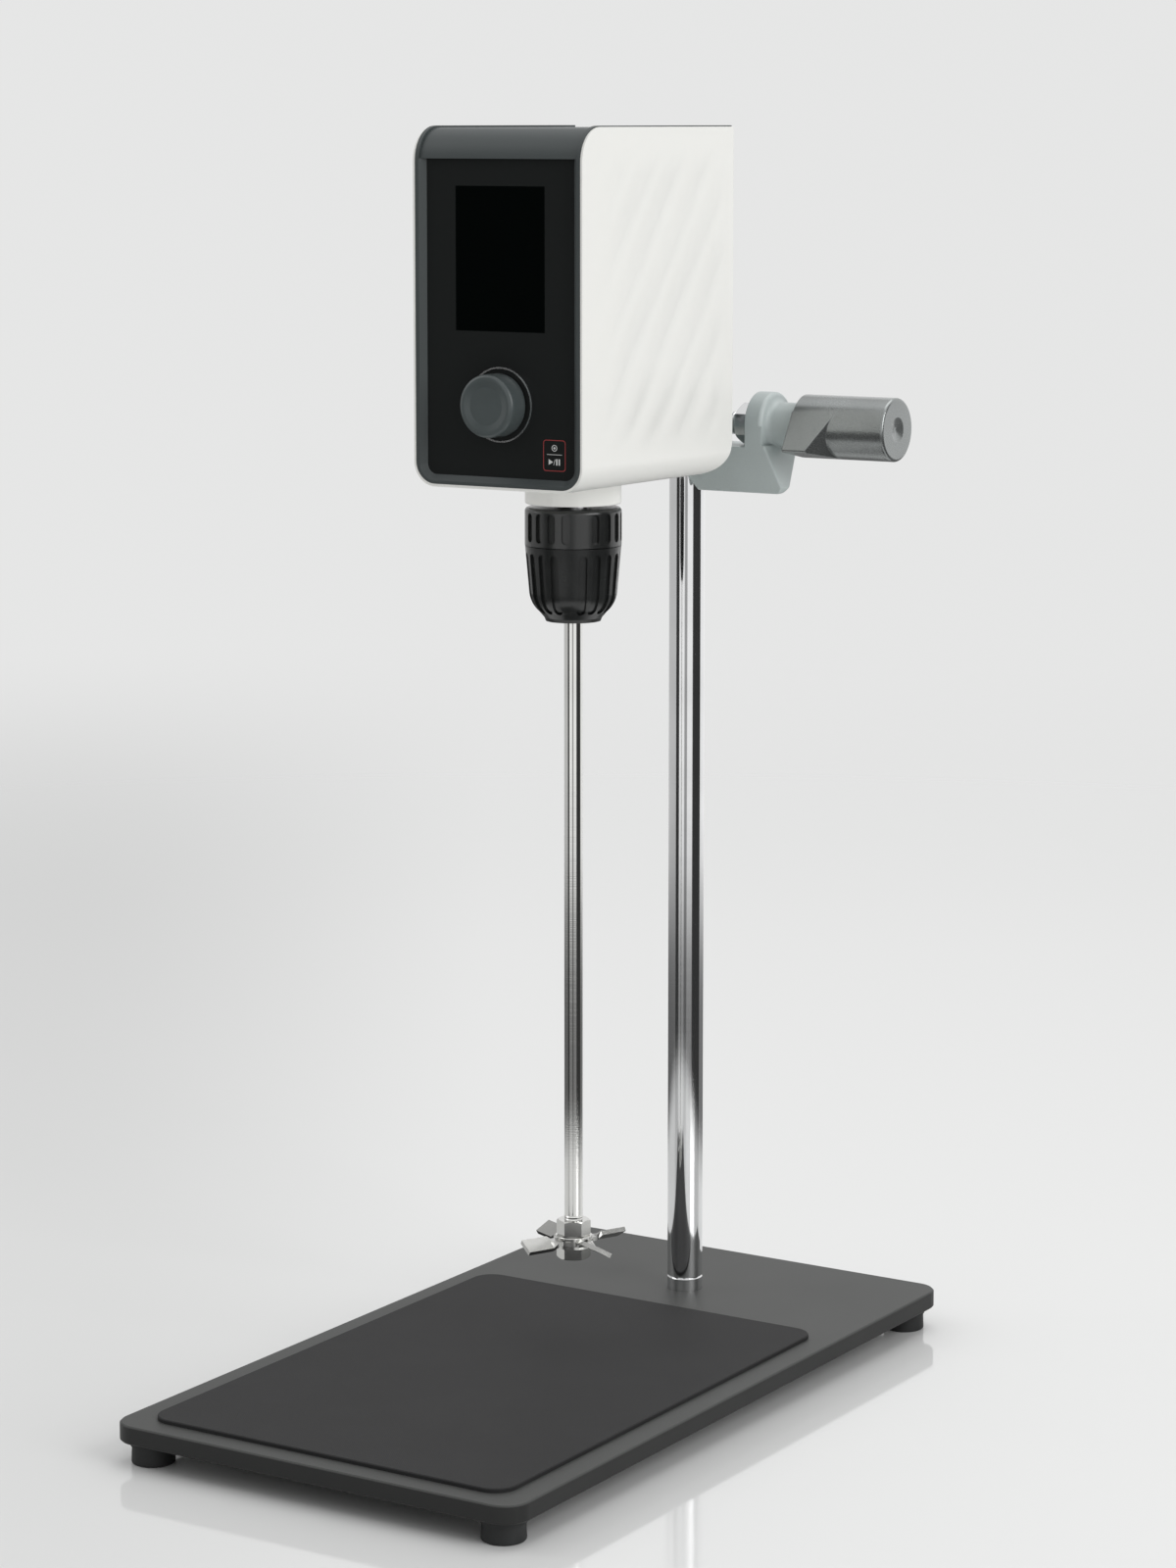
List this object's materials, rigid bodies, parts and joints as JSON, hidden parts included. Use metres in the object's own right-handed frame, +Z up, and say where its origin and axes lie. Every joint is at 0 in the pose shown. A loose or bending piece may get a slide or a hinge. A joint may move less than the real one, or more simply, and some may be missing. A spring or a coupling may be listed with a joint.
{
  "type": "overhead stirrer",
  "caption": "Overhead laboratory stirrer on a plate stand, with a clamped drive head, keyless chuck, stirring shaft and propeller.",
  "frame": {"origin": "centre of the base's footprint on the floor, under the middle of the plate", "axes": "+Z up, -Y to the front of the drive head, +X towards the clamp handle"},
  "size_m": [0.2065, 0.36, 0.5496],
  "materials": {
    "plate_paint": "satin textured dark grey",
    "foot_rubber": "matt black",
    "mat_rubber": "matt dark grey",
    "column_chrome": "polished",
    "steel": "machined",
    "shaft_steel": "fine ground stainless",
    "nylon": "matt natural",
    "clamp_paint": "satin blue grey",
    "handle_paint": "satin metallic grey",
    "nut_chrome": "polished",
    "brass": "turned",
    "white_shell": "semi gloss white",
    "slate_cover": "fine matt slate",
    "black_glass": "gloss black backed",
    "ring_metal": "satin",
    "board_plastic": "matt",
    "circuit_board": "green solder mask",
    "knob_grey": "satin slate",
    "cast_alloy": "cast",
    "socket_black": "satin black",
    "chuck_black": "satin black",
    "chuck_steel": "hardened"
  },
  "bodies": {
    "stand": {"base_plate": "plate_paint", "foot_front_left": "foot_rubber", "foot_front_right": "foot_rubber", "foot_rear_left": "foot_rubber", "foot_rear_right": "foot_rubber", "rubber_mat": "mat_rubber", "column_lower": "column_chrome", "column_upper": "column_chrome", "column_stud": "steel", "column_screw": "steel"},
    "sleeve": {"clamp_sleeve": "nylon"},
    "head": {"clamp_body": "clamp_paint", "clamp_nut": "nut_chrome", "flange_screw_1": "steel", "flange_screw_2": "steel", "flange_screw_3": "steel", "flange_screw_4": "steel", "side_shell": "white_shell", "front_cover": "slate_cover", "glass_panel": "black_glass", "knob_ring": "ring_metal", "display_module": "board_plastic", "control_board": "circuit_board", "encoder_body": "board_plastic", "motor_frame": "cast_alloy", "motor_can": "cast_alloy", "motor_stator": "steel", "lower_bearing": "steel", "upper_bearing": "steel", "driver_board": "circuit_board", "spindle_collar": "white_shell", "back_panel": "slate_cover", "panel_screw_1": "steel", "panel_screw_2": "steel", "panel_screw_3": "steel", "panel_screw_4": "steel", "power_inlet": "socket_black", "power_switch": "socket_black"},
    "shoe": {"clamp_shoe": "brass"},
    "handle": {"clamp_screw": "nut_chrome", "clamp_handle": "handle_paint"},
    "plunger": {"push_plunger": "nylon"},
    "knob": {"control_knob": "knob_grey", "encoder_shaft": "steel"},
    "rocker": {"switch_rocker": "socket_black"},
    "spindle_group": {"spindle": "column_chrome", "motor_rotor": "steel", "chuck_body": "chuck_steel", "chuck_upper_sleeve": "chuck_black", "stirring_shaft": "shaft_steel", "lower_nut": "steel", "lower_washer": "steel", "upper_washer": "steel", "upper_nut": "steel", "propeller": "shaft_steel"},
    "chuck_sleeve": {"chuck_lower_sleeve": "chuck_black"},
    "jaw_a": {"jaw_1": "chuck_steel"},
    "jaw_b": {"jaw_2": "chuck_steel"},
    "jaw_c": {"jaw_3": "chuck_steel"}
  },
  "joints": [
    {"name": "head_height", "type": "slide", "parent": "stand", "child": "sleeve", "axis": [0, 0, 1], "range_m": [-0.03, 0.075]},
    {"name": "head_swivel", "type": "hinge", "parent": "sleeve", "child": "head", "pos_m": [0, 0.116, 0.415], "axis": [0, 0, 1], "continuous": true},
    {"name": "shoe_travel", "type": "slide", "parent": "head", "child": "shoe", "axis": [1, 0, 0], "range_m": [0, 0.0015]},
    {"name": "handle_turn", "type": "hinge", "parent": "shoe", "child": "handle", "pos_m": [0.0607, 0.116, 0.418], "axis": [1, 0, 0], "range_deg": [0, 360]},
    {"name": "knob_push", "type": "slide", "parent": "head", "child": "plunger", "axis": [0, 1, 0], "range_m": [0, 0.0005], "stiffness_N_per_m": 4000, "springref_m": -0.0005},
    {"name": "knob_turn", "type": "hinge", "parent": "plunger", "child": "knob", "pos_m": [0, -0.04, 0.434], "axis": [0, 1, 0], "continuous": true},
    {"name": "switch_rock", "type": "hinge", "parent": "head", "child": "rocker", "pos_m": [0.019, 0.084, 0.4965], "axis": [1, 0, 0], "range_deg": [-16, 0]},
    {"name": "spindle_spin", "type": "hinge", "parent": "head", "child": "spindle_group", "pos_m": [0, 0.0206, 0.4], "axis": [0, 0, 1], "continuous": true},
    {"name": "chuck_turn", "type": "hinge", "parent": "spindle_group", "child": "chuck_sleeve", "pos_m": [0, 0.0206, 0.36], "axis": [0, 0, 1], "range_deg": [0, 720]},
    {"name": "jaw_a_slide", "type": "slide", "parent": "spindle_group", "child": "jaw_a", "axis": [-0.0449, -0.2549, 0.9659], "range_m": [0, 0.00361]},
    {"name": "jaw_b_slide", "type": "slide", "parent": "spindle_group", "child": "jaw_b", "axis": [0.2432, 0.0885, 0.9659], "range_m": [0, 0.00361]},
    {"name": "jaw_c_slide", "type": "slide", "parent": "spindle_group", "child": "jaw_c", "axis": [-0.1983, 0.1664, 0.9659], "range_m": [0, 0.00361]}
  ],
  "couplings": [
    {"joint": "shoe_travel", "follows": "handle_turn", "m_per_rad": 0.00023873},
    {"joint": "jaw_a_slide", "follows": "chuck_turn", "m_per_rad": 0.00028648},
    {"joint": "jaw_b_slide", "follows": "chuck_turn", "m_per_rad": 0.00028648},
    {"joint": "jaw_c_slide", "follows": "chuck_turn", "m_per_rad": 0.00028648}
  ]
}
